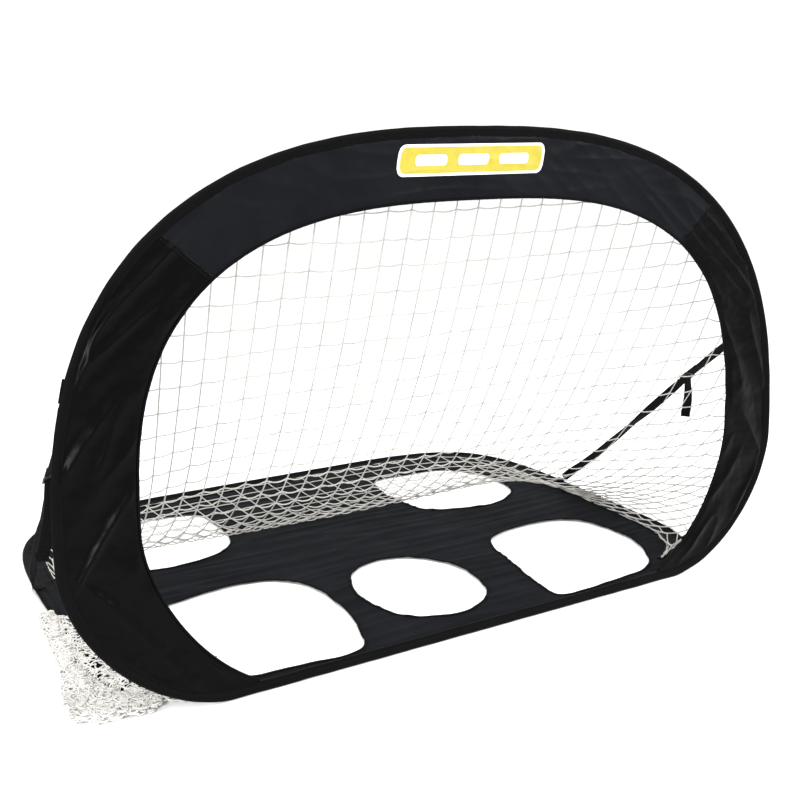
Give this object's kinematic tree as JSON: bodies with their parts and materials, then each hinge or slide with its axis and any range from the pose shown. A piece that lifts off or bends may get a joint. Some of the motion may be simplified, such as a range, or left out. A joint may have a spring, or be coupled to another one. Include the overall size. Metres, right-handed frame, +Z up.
{
  "type": "pop up goal",
  "caption": "Folding ball goal: a leaning fabric-bordered mouth loop hinged to a floor loop with a holed target sheet, a sagging net and side straps.",
  "frame": {"origin": "middle of the front edge, on the underside of the floor loop's sleeve, where it rests on the ground", "axes": "+X along the front edge, +Y back into the goal, +Z up"},
  "size_m": [1.5, 0.998, 0.8999],
  "materials": {
    "spring_steel": "zinc-plated spring steel strip, satin",
    "sleeve_fabric": "black polyester binding, dull",
    "floor_fabric": "thin blue-black polyester, soft sheen, finely wrinkled",
    "band_fabric": "thin blue-black polyester, soft sheen",
    "side_fabric": "thin black polyester with pulled wrinkles, soft sheen",
    "net_twine": "off-white knotted twine, matt",
    "webbing": "black woven webbing, dull",
    "lock_plastic": "black moulded acetal"
  },
  "bodies": {
    "floor_frame": {"floor_sleeve": "sleeve_fabric", "floor_hoop": "spring_steel", "floor_hoop_ferrule": "spring_steel", "floor_sheet": "floor_fabric", "centre_hole_hem": "sleeve_fabric", "front_left_hole_hem": "sleeve_fabric", "front_right_hole_hem": "sleeve_fabric", "back_left_hole_hem": "sleeve_fabric", "back_right_hole_hem": "sleeve_fabric", "hinge_tape": "webbing", "goal_net": "net_twine", "net_pile": "net_twine", "left_floor_strap_tab": "webbing", "right_floor_strap_tab": "webbing", "left_long_webbing": "webbing", "right_long_webbing": "webbing"},
    "mouth_frame": {"mouth_sleeve": "sleeve_fabric", "mouth_hoop": "spring_steel", "mouth_hoop_ferrule": "spring_steel", "top_band": "band_fabric", "left_side_panel": "side_fabric", "right_side_panel": "side_fabric", "opening_piping": "sleeve_fabric", "left_mouth_strap_tab": "webbing", "right_mouth_strap_tab": "webbing"},
    "left_strap_anchor": {"left_anchor_webbing": "webbing", "left_ladder_lock": "lock_plastic"},
    "left_strap_tail": {"left_webbing_tail": "webbing"},
    "right_strap_anchor": {"right_anchor_webbing": "webbing", "right_ladder_lock": "lock_plastic"},
    "right_strap_tail": {"right_webbing_tail": "webbing"}
  },
  "joints": [
    {"name": "mouth_fold", "type": "hinge", "parent": "floor_frame", "child": "mouth_frame", "pos_m": [0, -0.0098, 0.0122], "axis": [1, 0, 0], "range_deg": [-85.4, 0], "stiffness_Nm_per_rad": 1.6, "springref_deg": 28.65, "deforming": ["goal_net", "net_pile", "left_long_webbing", "right_long_webbing"]},
    {"name": "left_strap_swing", "type": "hinge", "parent": "mouth_frame", "child": "left_strap_anchor", "pos_m": [-0.704, 0.03249, 0.51041], "axis": [1, 0, 0], "range_deg": [-51.21, 0]},
    {"name": "left_tail_swing", "type": "hinge", "parent": "left_strap_anchor", "child": "left_strap_tail", "pos_m": [-0.69561, 0.20601, 0.34919], "axis": [1, 0, 0], "range_deg": [0, 48.3]},
    {"name": "right_strap_swing", "type": "hinge", "parent": "mouth_frame", "child": "right_strap_anchor", "pos_m": [0.726, 0.03249, 0.51041], "axis": [1, 0, 0], "range_deg": [-51.21, 0]},
    {"name": "right_tail_swing", "type": "hinge", "parent": "right_strap_anchor", "child": "right_strap_tail", "pos_m": [0.71053, 0.20575, 0.34944], "axis": [1, 0, 0], "range_deg": [0, 48.3]}
  ],
  "couplings": [
    {"joint": "left_strap_swing", "follows": "mouth_fold", "ratio": 0.5995},
    {"joint": "left_tail_swing", "follows": "mouth_fold", "ratio": -0.5654},
    {"joint": "right_strap_swing", "follows": "mouth_fold", "ratio": 0.5995},
    {"joint": "right_tail_swing", "follows": "mouth_fold", "ratio": -0.5654}
  ]
}
